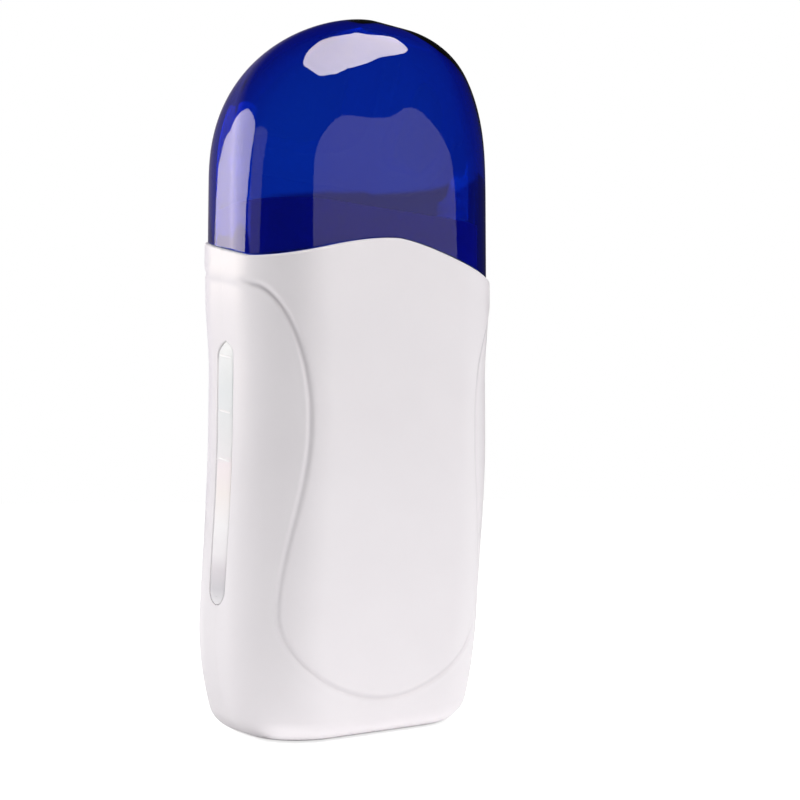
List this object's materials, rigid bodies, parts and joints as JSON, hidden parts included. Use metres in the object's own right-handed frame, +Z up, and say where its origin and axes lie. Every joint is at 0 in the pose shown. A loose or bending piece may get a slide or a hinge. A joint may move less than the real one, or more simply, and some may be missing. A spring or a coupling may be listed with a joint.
{
  "type": "roll-on wax heater",
  "caption": "Hand-held roll-on wax heater: waisted white shell with a wavy rim, translucent blue lift-off dome cap, level window in one side, heated cartridge well and rear power inlet.",
  "frame": {"origin": "on the resting plane, straight below the axis of the heated well and the upright upper body", "axes": "+Z up, -Y towards the front panel with the crest in its rim, +X to the right of someone who faces the front; the level window is on the -X side"},
  "size_m": [0.0842, 0.0554, 0.1995],
  "materials": {
    "shell_white": "smooth glossy white moulding",
    "cap_blue": "polished translucent cobalt blue",
    "neck_grey": "satin light grey",
    "well_aluminium": "drawn aluminium, satin",
    "window_clear": "clear plastic, polished",
    "spreader_aluminium": "extruded aluminium",
    "stone_ceramic": "dense dark ceramic",
    "electrode_brass": "thin rolled sheet",
    "film_amber": "amber insulating film",
    "clamp_steel": "zinc plated",
    "screw_steel": "zinc plated",
    "thermostat_body": "matte ivory",
    "fuse_body": "glazed khaki",
    "platform_grey": "matte grey moulding",
    "board_green": "green laminate",
    "board_part": "dipped coating",
    "lamp_red": "tinted clear resin",
    "holder_dark": "fine matte black",
    "pin_brass": "nickel brass",
    "wire_brown": "soft insulation",
    "wire_blue": "soft insulation",
    "wire_white": "soft insulation"
  },
  "bodies": {
    "root": {"front_shell": "shell_white", "rear_shell": "shell_white", "neck_collar": "neck_grey", "heating_well": "well_aluminium", "level_window": "window_clear", "heat_spreader": "spreader_aluminium", "heating_stones": "stone_ceramic", "inner_electrode": "electrode_brass", "outer_electrode": "electrode_brass", "inner_film": "film_amber", "outer_film": "film_amber", "clamp_bar": "clamp_steel", "clamp_screws": "screw_steel", "thermostat": "thermostat_body", "thermal_fuse": "fuse_body", "platform": "platform_grey", "circuit_board": "board_green", "board_parts": "board_part", "board_screws": "screw_steel", "indicator_lamp": "lamp_red", "lamp_holder": "holder_dark", "inlet_socket": "holder_dark", "inlet_pins": "pin_brass", "shell_screws": "screw_steel", "live_wire": "wire_brown", "neutral_wire": "wire_blue", "fuse_wire": "wire_brown", "thermostat_wire": "wire_blue", "lamp_wires": "wire_white"},
    "cap": {"cap": "cap_blue"}
  },
  "joints": [
    {"name": "cap_lift", "type": "slide", "parent": "root", "child": "cap", "axis": [0, 0, 1], "range_m": [0, 0.06]}
  ]
}
